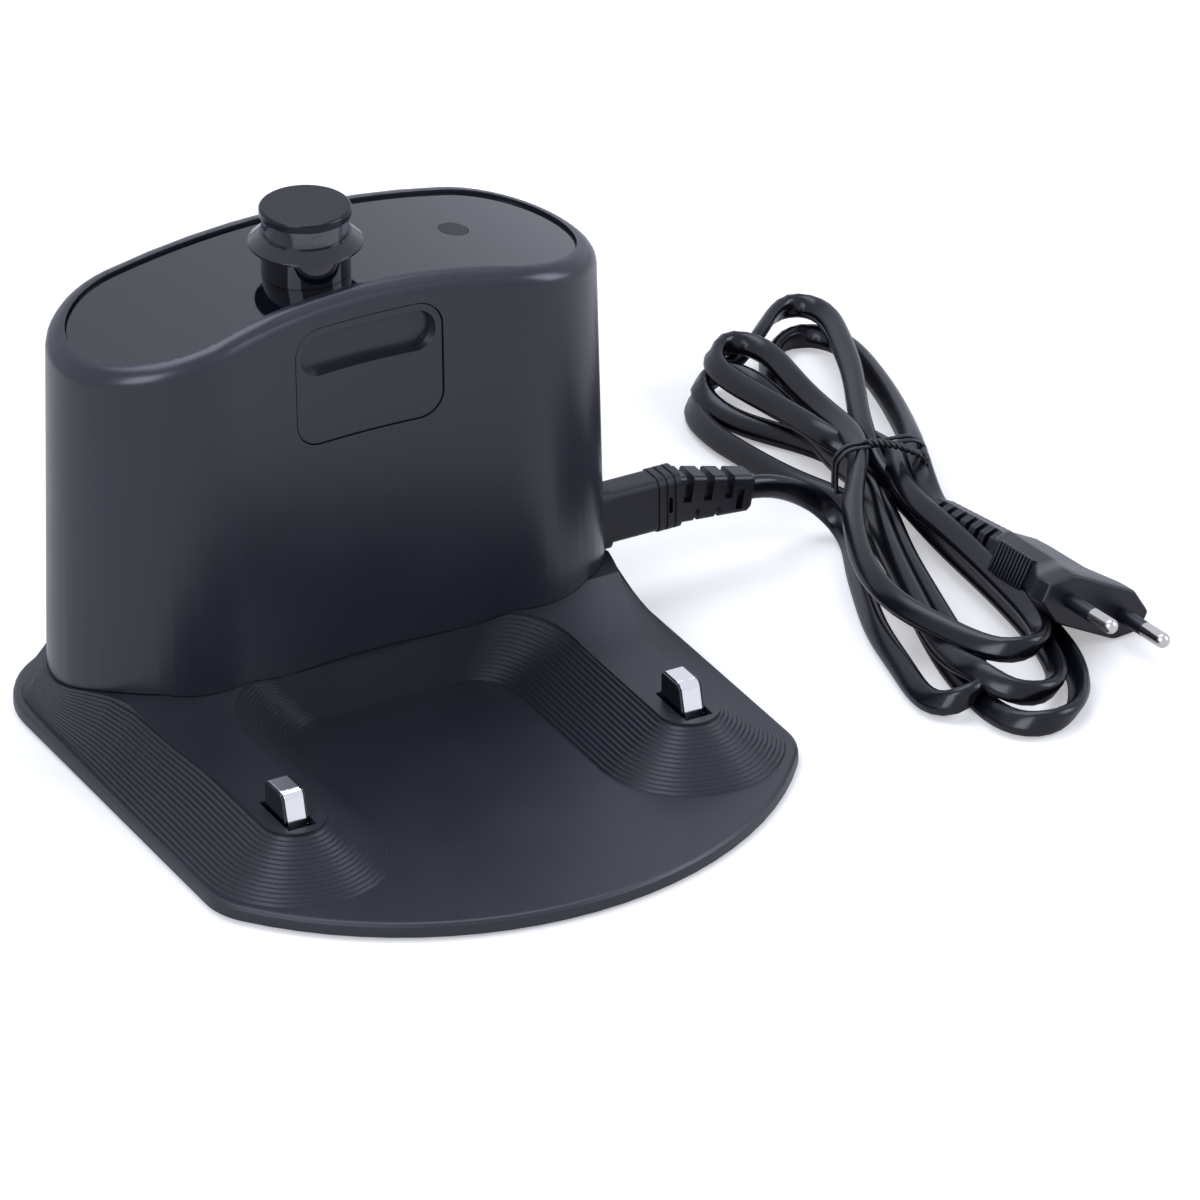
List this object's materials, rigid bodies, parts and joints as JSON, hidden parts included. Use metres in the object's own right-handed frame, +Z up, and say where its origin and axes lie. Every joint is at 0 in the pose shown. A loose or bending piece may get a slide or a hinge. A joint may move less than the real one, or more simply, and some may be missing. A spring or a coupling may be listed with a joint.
{
  "type": "robot vacuum charging dock",
  "caption": "Kidney-shaped charging tower on a terraced ramp base, with sprung contacts, a beacon and a hanked mains cord.",
  "frame": {"origin": "middle of the dock's footprint on the floor, without the free cord", "axes": "+Y towards the tower's back, away from the ramps; +Z up; +X towards the end with the mains inlet"},
  "size_m": [0.2805, 0.2455, 0.1333],
  "materials": {
    "shell_black": "satin moulded ABS",
    "gloss_black": "piano black",
    "base_black": "fine-grained moulded ABS",
    "clear_ring": "clear polycarbonate",
    "smoked_lens": "smoked polycarbonate",
    "dark_resin": "infrared LED resin",
    "pale_resin": "diffused LED resin",
    "circuit_board": "solder resist",
    "ferrite": "moulded ferrite and epoxy",
    "copper_wire": "enamelled copper",
    "can_sleeve": "shrunk sleeve",
    "steel": "zinc plated",
    "bright_metal": "bright nickel",
    "rubber": "moulded rubber",
    "cord_black": "flexible PVC"
  },
  "bodies": {
    "dock": {"tower_shell": "shell_black", "top_cover": "gloss_black", "beacon_collar": "shell_black", "beacon_lens": "clear_ring", "beacon_cap": "gloss_black", "beacon_reflector": "bright_metal", "signal_board": "circuit_board", "beacon_emitter": "dark_resin", "status_led": "pale_resin", "led_lens": "smoked_lens", "signal_window": "shell_black", "window_board": "circuit_board", "window_emitters": "dark_resin", "base_tray": "base_black", "bottom_plate": "base_black", "bottom_screws": "steel", "rubber_feet": "rubber", "main_board": "circuit_board", "transformer_core": "ferrite", "transformer_winding": "copper_wire", "main_capacitor": "can_sleeve", "output_capacitors": "can_sleeve", "bridge_rectifier": "ferrite", "inlet_socket": "shell_black", "inlet_pins": "steel", "connector": "cord_black", "lead_cord": "cord_black", "cord_hank": "cord_black", "tail_cord": "cord_black", "plug_body": "cord_black", "plug_pins": "bright_metal", "twist_tie": "cord_black"},
    "contact_left": {"contact_carrier_left": "gloss_black", "contact_strap_left": "bright_metal", "contact_spring_left": "steel"},
    "contact_right": {"contact_carrier_right": "gloss_black", "contact_strap_right": "bright_metal", "contact_spring_right": "steel"}
  },
  "joints": [
    {"name": "contact_left_press", "type": "slide", "parent": "dock", "child": "contact_left", "axis": [0, 0, -1], "range_m": [0, 0.003], "stiffness_N_per_m": 400, "springref_m": -0.003, "deforming": ["contact_spring_left"]},
    {"name": "contact_right_press", "type": "slide", "parent": "dock", "child": "contact_right", "axis": [0, 0, -1], "range_m": [0, 0.003], "stiffness_N_per_m": 400, "springref_m": -0.003, "deforming": ["contact_spring_right"]}
  ]
}
